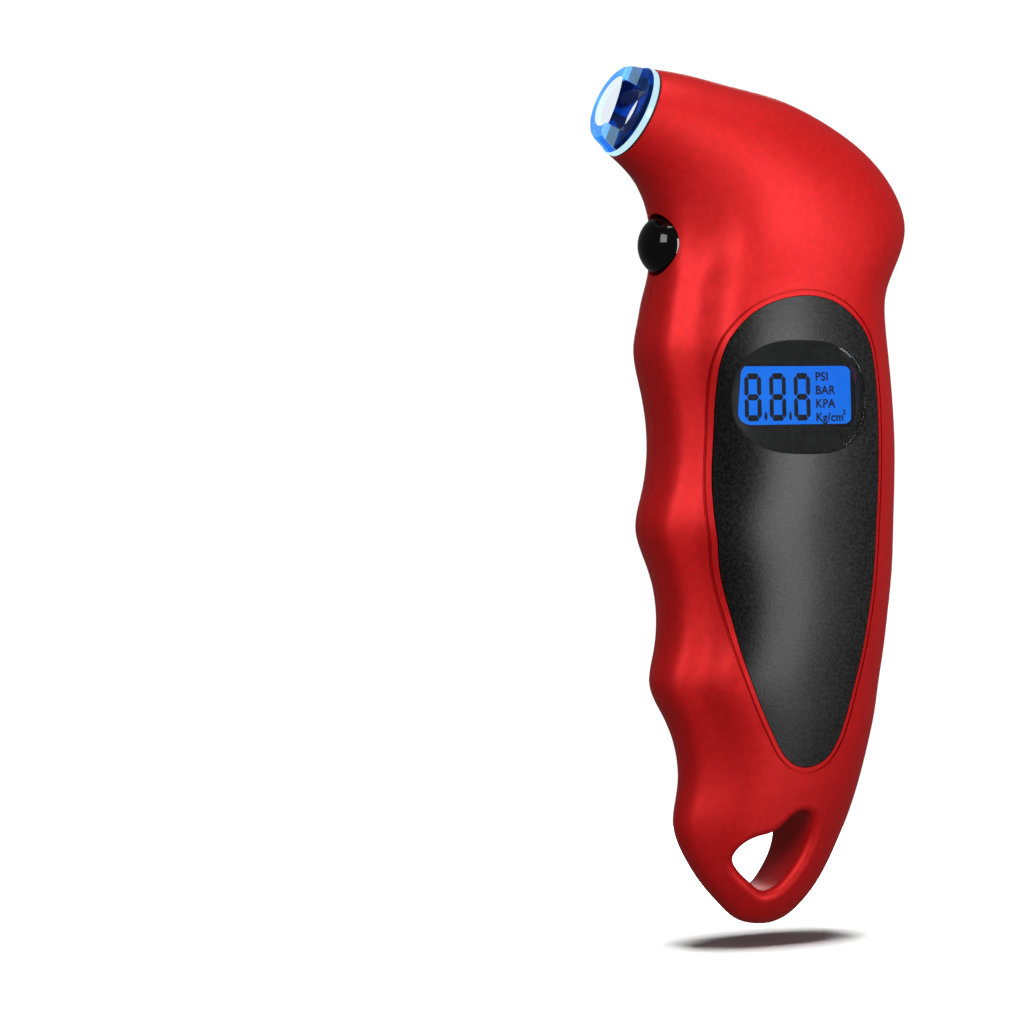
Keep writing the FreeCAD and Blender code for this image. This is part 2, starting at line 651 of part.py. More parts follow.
def make_power_button():
    """Glossy dome on a barrel, with a flange that holds it in the shells and a stem for the switch."""
    body = doc.addObject("PartDesign::Body", "power_button")
    pieces = [
        ("AdditiveCylinder", "button_barrel", -2.3, {"Radius": "dims.button_radius", "Height": "2.35"}),
        ("AdditiveCylinder", "button_flange", -3.3, {"Radius": "dims.button_radius + 1", "Height": "1"}),
        ("AdditiveCylinder", "button_stem", -5.0, {"Radius": "1.6", "Height": "2"}),
        ("AdditiveEllipsoid", "button_dome", 0, {"Radius1": "dims.button_dome", "Radius2": "dims.button_radius",
                                                 "Radius3": "dims.button_radius"}),
    ]
    for kind, name, height, sizes in pieces:
        piece = body.newObject("PartDesign::" + kind, name)
        piece.Placement = Placement(UP * height, Rotation())
        if kind == "AdditiveEllipsoid":
            piece.Angle1 = 0
        for prop, expression in sizes.items():
            piece.setExpression(prop, expression)
    body.Tip = piece
    body.Placement = button_place()
    keep(body, "power_button")


def make_switch_plunger():
    place = button_place(-5.02) * Placement(UP * -PLUNGER_LENGTH, Rotation())
    keep(primitive("Cylinder", "switch_plunger", place, Radius="1.7", Height=str(PLUNGER_LENGTH)),
         "switch_plunger")


def make_tactile_switch():
    """Side-push switch standing on the back of the board, with the hole its plunger slides in."""
    face_x = size("dims.button_x") + SWITCH_FRONT
    board_back = size("dims.board_face + dims.board_depth")
    case = primitive("Box", "switch_case",
                     Placement(Vector(face_x, board_back, size("dims.button_z") - 3.0), Rotation()),
                     Length="4", Width="3.2 - (dims.board_face + dims.board_depth)", Height="6")
    hole = primitive("Cylinder", "switch_hole", button_place(-SWITCH_FRONT - 1.5), Radius="1.75", Height="2")
    switch = boolean("Cut", "tactile_switch", case, hole)
    keep(switch, "tactile_switch")


# --- display ------------------------------------------------------------------------------------------

def display_place(back):
    turn = Rotation(FRONT, size("dims.lcd_tilt"))
    centre = Vector(size("dims.view_x"), 0, size("dims.view_z"))
    return Placement(REAR * back, turn, centre)


def view_loop(width, height):
    return box_loop("dims.view_x", "dims.view_z", width, height)


def make_lcd_glass():
    body = plate("lcd_glass", view_loop("dims.lcd_width", "dims.lcd_height"), 0, "dims.lcd_glass_depth")
    body.Placement = display_place(size("dims.lcd_face + dims.lcd_glass_depth"))


def make_lcd_frame():
    """Black frame: a thin lip round the viewing area on four walls that stand on the board."""
    walls = plate("lcd_frame", view_loop("dims.lcd_width + 2 * dims.frame_rim",
                                         "dims.lcd_height + 2 * dims.frame_rim"),
                  0, "dims.board_face - dims.lcd_face",
                  windows=[view_loop("dims.lcd_width + 0.04", "dims.lcd_height + 0.04")])
    lip = sketch_on(walls, "XZ_Plane", "lcd_frame_lip")
    lip.AttachmentOffset = Placement(UP * size("dims.board_face - dims.lcd_face"), Rotation())
    draw_loop(lip, view_loop("dims.lcd_width + 2 * dims.frame_rim", "dims.lcd_height + 2 * dims.frame_rim"))
    draw_loop(lip, view_loop("dims.view_width", "dims.view_height"))
    pad = walls.newObject("PartDesign::Pad", "lcd_frame_lip_pad")
    pad.Profile = lip
    pad.setExpression("Length", "dims.frame_lip")
    walls.Tip = pad
    walls.Placement = display_place(size("dims.board_face"))


def make_backlight():
    body = plate("backlight_guide", view_loop("dims.lcd_width - 0.4", "dims.light_height"), 0,
                 "dims.light_depth")
    body.Placement = display_place(size("dims.lcd_face + dims.lcd_glass_depth + dims.light_depth"))


def make_zebra_strips():
    """Two rubber strips that join the glass to the board, above and below the backlight."""
    top = size("dims.lcd_face + dims.lcd_glass_depth")
    strips = []
    for i, side in enumerate((1, -1)):
        low = size("dims.view_z + %d * (dims.lcd_height / 2 - 0.75) - 0.6" % side)
        corner = Vector(size("dims.view_x") - 10.2, 0, low)
        strips.append(primitive("Box", "zebra_strip_%d" % (i + 1),
                                display_place(top) * Placement(corner, Rotation()),
                                Length="20.4", Width="dims.board_face - (dims.lcd_face + dims.lcd_glass_depth)",
                                Height="1.2"))
    keep(compound("zebra_strips", strips), "zebra_strips")


def make_face_panel():
    panel = front_layer(panel_outline(), 0, size("dims.panel_inset"))
    hole = prism(lens_outline(size("dims.lens_gap")), -FAR, 0)
    feature("face_panel", panel.cut(hole))


def make_display_lens():
    top, bottom = size("dims.lens_recess"), size("dims.panel_inset - dims.mask_thickness")
    feature("display_lens", front_layer(lens_outline(), top, bottom))


def make_lens_mask():
    """Black border printed on the back of the lens."""
    border = front_layer(lens_outline(), size("dims.panel_inset - dims.mask_thickness"),
                         size("dims.panel_inset"))
    window = rounded_outline(size("dims.mask_window_x"), size("dims.view_z"), size("dims.mask_window_width"),
                             size("dims.mask_window_height"), 2.0)
    feature("lens_mask", border.cut(prism(window, -FAR, 0)))


# --- circuit board ------------------------------------------------------------------------------------


def make_main_board():
    outline = [(-9.8, 60.5), (13.8, 60.5), (13.8, 102.0), (-0.6, 102.0), (-0.6, 113.6), (-9.8, 113.6)]
    holes = [(x, z, 0.95) for x, z in BOARD_PINS]
    plate("main_board", outline, "dims.board_face + dims.board_depth", "dims.board_depth", holes=holes)


def on_board(x, z, rotation=Rotation()):
    """Place on the back of the board."""
    return Placement(Vector(x, size("dims.board_face + dims.board_depth"), z), rotation)


def make_controller_chip():
    """Drop of black epoxy over the bare chip."""
    turned("controller_chip", [(0, 0), (4.6, 0), (4.4, 0.4), (3.6, 0.85), (2.2, 1.15), (0, 1.25)],
           on_board(2.0, 85.0, Rotation(UP, REAR)))


def make_board_components():
    """Chip capacitors and resistors, a crystal can and a memory chip on the back of the board."""
    chips = [(-6.5 + 2.4 * i, 76.0, 1.0, 2.0, 0.6) for i in range(4)]
    chips += [(5.5 + 2.4 * i, 93.5, 1.0, 2.0, 0.6) for i in range(3)]
    chips += [(-7.5, 89.0, 5.0, 3.9, 1.5), (7.5, 72.5, 3.2, 5.0, 1.3), (-6.8, 98.5, 3.4, 1.8, 1.4)]
    boxes = []
    for i, (x, z, length, tall, thick) in enumerate(chips):
        boxes.append(primitive("Box", "board_chip_%d" % (i + 1), on_board(x - length / 2, z - tall / 2),
                               Length=str(length), Width=str(thick), Height=str(tall)))
    keep(compound("board_components", boxes), "board_components")


# --- batteries ----------------------------------------------------------------------------------------

def cell_place(height):
    return Placement(Vector(size("dims.cell_x"), size("dims.cell_y"), size("dims.cell_z") + height), Rotation())


def make_cells():
    for i in range(3):
        turned("button_cell_%d" % (i + 1),
               [(0, 0), (4.9, 0), (4.9, 0.7), (5.4, 0.7), ("dims.cell_radius", 1.1),
                ("dims.cell_radius", "dims.cell_height - 0.3"),
                ("dims.cell_radius - 0.3", "dims.cell_height"), (0, "dims.cell_height")],
               cell_place(i * size("dims.cell_height")))


def make_contact_plate():
    """Sheet-metal contact on the end wall, with a button that touches the top cell."""
    top = 3 * size("dims.cell_height")
    pad = primitive("Box", "plus_plate", cell_place(top + 0.5) * Placement(Vector(-5, -4.5, 0), Rotation()),
                    Length="10", Width="9", Height="0.3")
    nub = primitive("Cylinder", "plus_nub", cell_place(top), Radius="1.6", Height="0.5")
    keep(boolean("Fuse", "contact_plate", pad, nub), "contact_plate")


def make_contact_spring():
    """Conical wire spring on a small plate under the lowest cell."""
    wire, low, high = 0.3, 3.9, 2.2
    rise = 1.55
    helix = Part.makeLongHelix(rise / SPRING_COILS, rise, low,
                               -math.degrees(math.atan((low - high) / rise)))
    start = helix.Edges[0].valueAt(helix.Edges[0].FirstParameter)
    tangent = helix.Edges[0].tangentAt(helix.Edges[0].FirstParameter)
    profile = Part.Wire(Part.makeCircle(wire, start, tangent))
    coil = Part.Wire(helix.Edges).makePipeShell([profile], True, True)
    plate_box = Part.makeBox(10, 9, 0.3, Vector(-5, -4.5, -0.35))
    spring = feature("contact_spring", plate_box.fuse(coil))
    spring.Placement = cell_place(-1.95)


# --- battery door -------------------------------------------------------------------------------------


def surface_y(x, z):
    """How far the housing's surface lies from the parting plane."""
    line = Part.makeLine(Vector(x, -FAR, z), Vector(x, -0.01, z))
    return -line.common(front_form(0)).BoundBox.YMin


def rod(x, z, radius, front, back):
    """Cylinder along Y."""
    return Part.makeCylinder(radius, back - front, Vector(x, front, z), REAR)


def make_battery_door():
    """Cover that follows the rear surface, with a boss for its screw."""
    x, z = DOOR_SCREW
    cover = prism(door_outline(), 0, FAR).common(rear(front_form(0)))
    cover = cover.cut(rear(front_form(size("dims.door_inset") - 0.05)))
    ear = rod(x, z, DOOR_EAR, 0, FAR).common(rear(front_form(0)))
    ear = ear.cut(rear(front_form(DOOR_EAR_INSET)))
    face = surface_y(x, z)
    door = cover.fuse(ear).cut(rod(x, z, 2.0, face - 1.6, FAR)).cut(rod(x, z, 1.0, 0, FAR))
    # Three grip ridges are sunk as grooves across the lower end.
    for step in range(3):
        groove = Part.makeBox(7.0, FAR, 0.6, Vector(x - 3.5, 0, 36.0 + 1.5 * step))
        door = door.cut(groove.cut(rear(front_form(0.3))))
    feature("battery_door", door)


def crosshead(label, radius, height, shank, length, place, bite=0.7):
    """Pan-head screw with a cross recess. Local +Z points out of the head."""
    head = primitive("Cylinder", label + "_head", place, Radius=str(radius), Height=str(height))
    body = primitive("Cylinder", label + "_shank", place * Placement(UP * -length, Rotation()),
                     Radius=str(shank), Height="%g + 0.01" % length)
    screw = boolean("Fuse", label + "_blank", head, body)
    arms = []
    for i, (long_way, short_way) in enumerate(((1.4, 0.25), (0.25, 1.4))):
        corner = Vector(-size(radius) * long_way / 2, -size(radius) * short_way / 2, size(height) - bite)
        arms.append(primitive("Box", "%s_slot_%d" % (label, i + 1), place * Placement(corner, Rotation()),
                              Length="(%s) * %g" % (radius, long_way), Width="(%s) * %g" % (radius, short_way),
                              Height="1.0"))
    cross = boolean("Fuse", label + "_cross", *arms)
    return boolean("Cut", label, screw, cross)


def make_door_screw():
    x, z = DOOR_SCREW
    place = Placement(Vector(x, surface_y(x, z) - 1.55, z), Rotation(UP, REAR))
    keep(crosshead("battery_door_screw", "1.8", "1.1", "0.9", 5.0, place), "battery_door_screw")


def make_housing_screws():
    screws = []
    for i, (x, z) in enumerate(SCREWS):
        seat = surface_y(x, z) - HEAD_SUNK
        place = Placement(Vector(x, seat, z), Rotation(UP, REAR))
        screws.append(crosshead("housing_screw_%d" % (i + 1), "dims.screw_head", "1.5", "dims.screw_shank",
                                seat + SCREW_BITE, place))
    keep(compound("housing_screws", screws), "housing_screws")


# --- shells -------------------------------------------------------------------------------------------


def slab(front, back, low=-5.0):
    return Part.makeBox(80, back - front, 150 - low, Vector(-40, front, low))


def nozzle_block(front, back, inner, outer):
    """Box across the head between two depths below the mouth."""
    block = Part.makeBox(30, back - front, outer - inner, Vector(-15, front, -outer))
    block.Placement = NOZZLE_PLACE
    return block


def button_rod(radius, inner, outer):
    """Cylinder on the button's axis between two x values."""
    return Part.makeCylinder(radius, outer - inner, Vector(inner, 0, size("dims.button_z")), Vector(1, 0, 0))


def nozzle_rod(radius, inner, outer):
    """Cylinder on the nozzle's axis between two heights."""
    return Part.makeCylinder(radius, outer - inner, MOUTH + NOZZLE_AXIS * inner, NOZZLE_AXIS)


def front_inner_parts(skin_inside):
    """Bosses, board posts, chuck saddle and button sleeve of one half, each rooted in the wall."""
    boss = size("dims.boss_radius")
    pieces = [rod(x, z, boss, -FAR, 0) for x, z in SCREWS]
    pieces += [rod(x, z, 1.6, -FAR, size("dims.board_face")) for x, z in BOARD_PINS]
    pieces.append(nozzle_block(-FAR, 0, 7.3, 9.3))
    sleeve_end = size("dims.button_x + 2.25")
    pieces.append(button_rod(size("dims.button_radius") + 1.3, -25, sleeve_end).common(slab(-FAR, 0)))
    return [piece.common(skin_inside) for piece in pieces]


def rear_inner_parts(skin_inside):
    """The rear half's bosses, posts, button sleeve and battery bay, mirrored to the front side."""
    boss = size("dims.boss_radius")
    board_back = size("dims.board_face + dims.board_depth")
    pieces = [rod(x, z, boss, -FAR, 0) for x, z in SCREWS]
    pieces += [rod(x, z, 1.6, -FAR, 0) for x, z in BOARD_PINS]
    pieces.append(nozzle_block(-FAR, 0, 7.3, 9.3))
    sleeve_end = size("dims.button_x + 2.25")
    pieces.append(button_rod(size("dims.button_radius") + 1.3, -25, sleeve_end).common(slab(-FAR, 0)))
    x, z = DOOR_SCREW
    pieces.append(rod(x, z, 3.9, -FAR, -5.0))
    wall = size("dims.bay_wall")
    (x0, x1), (z0, z1) = BAY_X, BAY_Z
    pieces.append(Part.makeBox(x1 - x0 + 2 * wall, FAR, z1 - z0 + 2 * wall, Vector(x0 - wall, -FAR, z0 - wall)))
    rooted = [piece.common(skin_inside) for piece in pieces]
    rooted += [rod(x, z, 1.6, 0, -board_back) for x, z in BOARD_PINS]
    rooted.append(Part.makeBox(x1 - x0 + 2 * wall, wall - BAY_FLOOR, z1 - z0 + 2 * wall,
                               Vector(x0 - wall, 0, z0 - wall)))
    return rooted


def round_the_loop(shell):
    """Soften the lanyard hole's outer edge on one shell."""
    edges = []
    for edge in shell.Edges:
        box = edge.BoundBox
        inside = box.ZMax < 19.5 and box.ZMin > 4.5 and box.XMin > -8 and box.XMax < 9.5
        if inside and edge.CenterOfMass.y < -2.0:
            edges.append(edge)
    return shell.makeFillet(LOOP_ROUND, edges)


def loop_cut():
    return prism(smooth_outline(LOOP_HOLE), -FAR, FAR)


def display_pocket():
    """Room for the display frame, a little larger than the frame."""
    front = size("dims.lcd_face - dims.frame_lip - 0.1")
    width = size("dims.lcd_width + 2 * dims.frame_rim + 0.2")
    height = size("dims.lcd_height + 2 * dims.frame_rim + 0.2")
    corner = Vector(size("dims.view_x") - width / 2, 0, size("dims.view_z") - height / 2)
    room = Part.makeBox(width, size("dims.board_face") - front, height, corner)
    return room.transformed(display_place(front).toMatrix())


def make_front_shell():
    shell = front_form(0).cut(cavity())
    shell = round_the_loop(shell.cut(loop_cut()))
    shell = shell.fuse(front_inner_parts(front_form(1.5)))
    tongue = rear(front_form(TONGUE_OUTER).cut(cavity()))
    tongue = tongue.common(slab(0, size("dims.tongue_reach") - 0.05, TONGUE_LOW))
    shell = shell.fuse(tongue)
    # Seat for the panel and the lens, the red bead's groove and the window.
    seat = prism(panel_outline(size("dims.panel_gap")), -FAR, 0).cut(front_form(size("dims.panel_inset")))
    bead = size("dims.bead_inner")
    ring = prism(panel_outline(bead + size("dims.bead_width")), -FAR, 0).cut(
        prism(panel_outline(bead), -FAR, 0))
    groove = ring.cut(front_form(size("dims.bead_depth")))
    window = prism(lens_outline(-0.8), -FAR, size("dims.board_face") - 1.0)
    cuts = [seat, groove, window, display_pocket()]
    cuts += [rod(x, z, size("dims.screw_shank"), -SCREW_BITE - 0.5, 5) for x, z in SCREWS]
    cuts.append(nozzle_rod(size("dims.chuck_radius") + 0.02, -17.5, -5.9))
    cuts.append(button_rod(size("dims.button_radius + dims.button_gap"), -25, size("dims.button_x") + 2.3))
    cuts.append(button_rod(size("dims.button_radius") + 1.3, size("dims.button_x") + 2.25, -10))
    for x, z in BOARD_PINS:
        shell = shell.fuse(rod(x, z, 0.85, size("dims.board_face") - 0.5, -4.1))
    feature("front_shell", shell.cut(cuts))


def make_rear_shell():
    """Rear half, shaped on the front side of the parting plane and then mirrored."""
    shell = front_form(0).cut(cavity())
    seam = slab(-size("dims.seam_width"), 0).cut(front_form(size("dims.seam_depth")))
    rebate = front_form(REBATE_OUTER).cut(cavity())
    rebate = rebate.common(slab(-size("dims.tongue_reach"), 0, TONGUE_LOW - 0.05))
    shell = round_the_loop(shell.cut(loop_cut()))
    shell = shell.fuse(rear_inner_parts(front_form(1.5)))
    recess = prism(door_outline(size("dims.door_gap")), -FAR, 0).cut(front_form(size("dims.door_inset")))
    cuts = [recess]
    x, z = DOOR_SCREW
    ear_hole = rod(x, z, DOOR_EAR + 0.15, -FAR, 0)
    cuts += [ear_hole.cut(front_form(DOOR_EAR_INSET + 0.1)), rod(x, z, 0.98, -FAR, -3.0)]
    (x0, x1), (z0, z1) = BAY_X, BAY_Z
    cuts.append(Part.makeBox(x1 - x0, 2 * FAR, z1 - z0, Vector(x0, -BAY_FLOOR - 2 * FAR, z0)))
    for x, z in SCREWS:
        cuts += [rod(x, z, size("dims.screw_shank") + 0.25, -FAR, 1),
                 rod(x, z, size("dims.screw_head") + 0.2, -FAR, HEAD_SUNK - surface_y(x, z))]
    cuts += [rod(x, z, 0.95, 0, 4.5) for x, z in BOARD_PINS]
    cuts.append(nozzle_rod(size("dims.chuck_radius") + 0.02, -17.5, -5.9))
    cuts.append(button_rod(size("dims.button_radius + dims.button_gap"), -25, size("dims.button_x") + 2.3))
    cuts.append(button_rod(size("dims.button_radius") + 1.3, size("dims.button_x") + 2.25, -10))
    cuts += [seam, rebate]
    for cut in cuts:
        shell = shell.cut(cut)
    feature("rear_shell", rear(shell))


# --- document -----------------------------------------------------------------------------------------

MAKERS = [
    make_front_shell, make_rear_shell, make_face_panel, make_display_lens, make_lens_mask,
    make_lcd_frame, make_lcd_glass, make_backlight, make_zebra_strips,
    make_main_board, make_controller_chip, make_board_components,
    make_power_button, make_switch_plunger, make_tactile_switch,
    make_nozzle_tip, make_nozzle_gasket, make_chuck_seal, make_valve_depressor, make_chuck_body,
    make_chuck_oring, make_nozzle_led, make_pressure_sensor, make_sensor_oring, make_sensor_retainer,
    make_cells, make_contact_plate, make_contact_spring,
    make_battery_door, make_door_screw, make_housing_screws,
]


def check():
    """Stop if anything in the document failed."""
    doc.recompute()
    for obj in doc.Objects:
        if "Invalid" in obj.State or "Error" in obj.State:
            raise RuntimeError("%s failed: %s" % (obj.Name, obj.State))
    for part in PARTS:
        if part.Shape.isNull() or not part.Shape.isValid():
            raise RuntimeError("%s has no valid shape" % part.Label)


def export():
    os.makedirs("parts", exist_ok=True)
    for part in PARTS:
        part.Shape.exportStep("parts/%s.step" % part.Label)


def main():
    for make in MAKERS:
        make()
    check()
    export()


main()
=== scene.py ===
import json
import math

import bmesh
import bpy
from mathutils import Matrix, Vector


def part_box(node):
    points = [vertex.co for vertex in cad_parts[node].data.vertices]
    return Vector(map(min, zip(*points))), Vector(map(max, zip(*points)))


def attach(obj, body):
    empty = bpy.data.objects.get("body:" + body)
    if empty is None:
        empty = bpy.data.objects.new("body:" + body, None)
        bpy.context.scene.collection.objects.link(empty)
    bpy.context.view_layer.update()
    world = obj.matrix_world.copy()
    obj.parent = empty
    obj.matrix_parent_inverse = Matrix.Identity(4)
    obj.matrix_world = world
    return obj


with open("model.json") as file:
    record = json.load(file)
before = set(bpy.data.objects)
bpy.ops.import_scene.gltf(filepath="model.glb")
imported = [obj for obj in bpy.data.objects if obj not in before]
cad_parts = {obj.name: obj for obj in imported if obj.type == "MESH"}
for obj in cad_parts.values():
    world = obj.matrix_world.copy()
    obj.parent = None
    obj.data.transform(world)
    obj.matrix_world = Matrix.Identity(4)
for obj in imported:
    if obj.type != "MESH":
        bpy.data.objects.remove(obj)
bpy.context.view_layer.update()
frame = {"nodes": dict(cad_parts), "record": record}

# Digital tire pressure gauge: satin red housing, grained charcoal panel, lit display and clear nozzle with
# painted glow.
# Metres, in the CAD frame: +Z up the handle, -Y out of the display, -X towards the grip and the nozzle.

MM = 0.001
scene = bpy.context.scene
scene.view_settings.view_transform = "Standard"


# --- camera -------------------------------------------------------------------------------------------

CAMERA_AZIMUTH = -29.5        # degrees, turned from the display towards the grip
CAMERA_DISTANCE = 0.450
CAMERA_AIM = Vector((0, 0, 0.069))
CAMERA_SENSOR, CAMERA_LENS = 36, 98.44               # millimetres
CAMERA_SHIFT = (-0.2444, -0.0045)                    # the object stands right of the middle


def add_camera():
    data = bpy.data.cameras.new("camera")
    data.sensor_width = CAMERA_SENSOR
    data.lens = CAMERA_LENS
    data.shift_x, data.shift_y = CAMERA_SHIFT
    camera = bpy.data.objects.new("camera", data)
    scene.collection.objects.link(camera)
    angle = math.radians(CAMERA_AZIMUTH)
    camera.location = CAMERA_AIM + CAMERA_DISTANCE * Vector((math.sin(angle), -math.cos(angle), 0))
    camera.rotation_euler = (math.pi / 2, 0, angle)
    scene.camera = camera


add_camera()


# --- studio -------------------------------------------------------------------------------------------

BACKDROP_STRENGTH, FILL_STRENGTH = 1.05, 0.16        # of the white world as seen, and as it lights
# Soft boxes on the object: place (right, up and near, as seen by the camera), width, height, watts, and
# the parts that it leaves out. The lens would mirror the strip over the figures, the panel shows the
# strip's highlight alone, and the rear light is kept off the nozzle and the button.
SOFT_BOXES = {
    "key": ((-0.28, 0.36, 0.78), 0.42, 0.44, 5.9, ("face_panel",)),
    "panel_strip": ((0.66, -0.06, 0.58), 0.12, 0.90, 8.6, ("display_lens",)),
    "top": ((0.10, 0.9, 0.20), 0.35, 0.35, 5.5, ()),
    "rear": ((-0.10, 0.30, -0.90), 0.40, 0.40, 2.2, ("nozzle_tip", "power_button")),
}
FLOOR_LIGHT_X, FLOOR_LIGHT_Z = 0.004, 0.9
FLOOR_LIGHT_SIZE, FLOOR_LIGHT_POWER = 0.30, 46.0
FLOOR_SIDES, FLOOR_RADIUS, FLOOR_Z = 96, 0.16, -0.0028


def aim(obj, target):
    obj.rotation_euler = (Vector(target) - obj.location).to_track_quat("-Z", "Y").to_euler()


def area_light(name, place, target, width, height, power):
    data = bpy.data.lights.new(name, "AREA")
    data.shape = "RECTANGLE"
    data.size = width
    data.size_y = height
    data.energy = power
    light = bpy.data.objects.new(name, data)
    scene.collection.objects.link(light)
    light.location = place
    aim(light, target)
    return light


def view_point(right, up, near):
    """A place given as seen by the camera: metres right, up and towards it from the point it aims at."""
    angle = math.radians(CAMERA_AZIMUTH)
    to_camera = Vector((math.sin(angle), -math.cos(angle), 0))
    sideways = Vector((math.cos(angle), math.sin(angle), 0))
    return CAMERA_AIM + sideways * right + Vector((0, 0, up)) + to_camera * near


def spare(light, *objects):
    """Keep one light off some objects."""
    group = bpy.data.collections.new(light.name + "_spares")
    for item in objects:
        group.objects.link(item)
    light.light_linking.receiver_collection = group
    for item in group.collection_objects:
        item.light_linking.link_state = "EXCLUDE"


def add_studio(floor):
    """White behind the object, dimmer light from all round it, and soft boxes that leave out the floor."""
    world = bpy.data.worlds.new("studio")
    scene.world = world
    world.use_nodes = True
    tree = world.node_tree
    seen = tree.nodes["Background"]
    seen.inputs["Color"].default_value = (1, 1, 1, 1)
    seen.inputs["Strength"].default_value = BACKDROP_STRENGTH
    fill = tree.nodes.new("ShaderNodeBackground")
    fill.inputs["Color"].default_value = (1, 1, 1, 1)
    fill.inputs["Strength"].default_value = FILL_STRENGTH
    path = tree.nodes.new("ShaderNodeLightPath")
    mix = tree.nodes.new("ShaderNodeMixShader")
    tree.links.new(path.outputs["Is Camera Ray"], mix.inputs[0])
    tree.links.new(fill.outputs[0], mix.inputs[1])
    tree.links.new(seen.outputs[0], mix.inputs[2])
    tree.links.new(mix.outputs[0], tree.nodes["World Output"].inputs["Surface"])
    for name, (place, width, height, power, left_out) in SOFT_BOXES.items():
        light = area_light(name, view_point(*place), CAMERA_AIM, width, height, power)
        spare(light, floor, *(frame["nodes"][node] for node in left_out))


def add_floor_light(floor):
    """Soft box straight above that lights only the floor, so the object's shadow lies under it."""
    lamp = area_light("floor_light", (FLOOR_LIGHT_X, 0.0, FLOOR_LIGHT_Z), (FLOOR_LIGHT_X, 0.0, 0.0),
                      FLOOR_LIGHT_SIZE, FLOOR_LIGHT_SIZE, FLOOR_LIGHT_POWER)
    group = bpy.data.collections.new("floor_only")
    group.objects.link(floor)
    lamp.light_linking.receiver_collection = group


def add_floor():
    """Pale round table just under the object."""
    mesh = bpy.data.meshes.new("floor")
    angles = [2 * math.pi * i / FLOOR_SIDES for i in range(FLOOR_SIDES)]
    ring = [(FLOOR_RADIUS * math.cos(a), FLOOR_RADIUS * math.sin(a), FLOOR_Z) for a in angles]
    mesh.from_pydata(ring, [], [tuple(range(FLOOR_SIDES))])
    floor = bpy.data.objects.new("floor", mesh)
    scene.collection.objects.link(floor)
    mesh.materials.append(plain_floor())
    floor.visible_diffuse = False
    floor.visible_glossy = False
    add_floor_light(floor)
    return floor


# --- materials ----------------------------------------------------------------------------------------

NOZZLE_MOUTH = Vector((-0.0215, 0.0, 0.13053))       # middle of the housing's edge round the nozzle
NOZZLE_AXIS = Vector((-0.9252, 0.0, 0.3795))
NOTCH_WALL = -0.00125                                # the notch is on the display side of this
NOTCH_STEP = 0.00012                                 # half width of the painted highlight line along that wall
NOTCH_REACH = 0.0036                                 # how far along the nozzle the painted shade in the notch reaches
BORE_RADIUS = 0.0043
BORE_LIT_FROM, BORE_SLANT = 0.0040, 0.524            # the painted white light in the bore starts on a slant
RIM_RADIUS = 0.0074                                  # outside this radius the nozzle's outer edge gets a painted highlight
LIP_FROM = 0.0043                                    # further along than this the lip's painted glow is paler
PALE_SHARE = 0.30                                    # how strongly the lip's glow and the notch-wall highlight are paled
CLOUD_SCALE = 420.0
FINE_BUMP, GRAIN_BUMP = 0.000004, 0.00003
GLOW_DIM = 0.85                                      # darkest spots of a glowing part, against its colour
METAL_SMOOTHER, METAL_ROUGHER = 0.06, 0.1            # how far a metal's roughness wavers


class Shader:
    """Short way to build a node material."""

    def __init__(self, name):
        self.material = bpy.data.materials.new(name)
        self.material.use_nodes = True
        self.tree = self.material.node_tree
        self.surface = self.tree.nodes["Principled BSDF"]
        self.coords = None

    def set(self, **values):
        for name, value in values.items():
            socket = self.surface.inputs[name.replace("_", " ")]
            if isinstance(value, tuple):
                value = (*value, 1)
            socket.default_value = value
        return self

    def node(self, kind, **inputs):
        node = self.tree.nodes.new("ShaderNode" + kind)
        for name, value in inputs.items():
            self.feed(node.inputs[name.replace("_", " ")], value)
        return node

    def feed(self, socket, value):
        if hasattr(value, "is_output"):
            self.tree.links.new(value, socket)
        else:
            socket.default_value = value

    def place(self):
        """Position in the object's own frame, which is the row frame, in metres."""
        if self.coords is None:
            self.coords = self.node("TexCoord").outputs["Object"]
        return self.coords

    def noise(self, scale, detail=2.0, roughness=0.5):
        node = self.node("TexNoise", Vector=self.place(), Scale=scale, Detail=detail, Roughness=roughness)
        return node.outputs["Fac"]

    def ramp(self, factor, *stops):
        node = self.node("ValToRGB", Fac=factor)
        elements = node.color_ramp.elements
        while len(elements) < len(stops):
            elements.new(0.5)
        for element, (position, color) in zip(elements, stops):
            element.position = position
            element.color = (*color, 1)
        return node.outputs["Color"]

    def number(self, operation, first, second=0.0):
        node = self.tree.nodes.new("ShaderNodeMath")
        node.operation = operation
        self.feed(node.inputs[0], first)
        self.feed(node.inputs[1], second)
        return node.outputs[0]

    def math(self, operation, first, second):
        node = self.tree.nodes.new("ShaderNodeVectorMath")
        node.operation = operation
        self.feed(node.inputs[0], first)
        self.feed(node.inputs[1], second)
        return node.outputs["Value" if operation == "DOT_PRODUCT" else "Vector"]

    def blend(self, factor, first, second):
        node = self.tree.nodes.new("ShaderNodeMix")
        node.data_type = "RGBA"
        self.feed(node.inputs["Factor"], factor)
        for socket, color in ((node.inputs[6], first), (node.inputs[7], second)):
            self.feed(socket, (*color, 1) if isinstance(color, tuple) else color)
        return node.outputs[2]

    def bump(self, height, distance, strength=1.0):
        node = self.node("Bump", Height=height, Distance=distance, Strength=strength)
        self.feed(self.surface.inputs["Normal"], node.outputs["Normal"])
        return self

    def link(self, name, value):
        self.feed(self.surface.inputs[name], value)
        return self

    def rough(self, scale, low, high):
        """Roughness that wavers between two values."""
        waver = self.node("MapRange", Value=self.noise(scale), To_Min=low, To_Max=high)
        return self.link("Roughness", waver.outputs[0])


def plain_floor():
    s = Shader("floor")
    s.set(Roughness=0.95, Specular_IOR_Level=0.0)
    s.link("Base Color", s.ramp(s.noise(3.0), (0.3, (0.49, 0.49, 0.49)), (0.7, (0.51, 0.51, 0.51))))
    return s.material


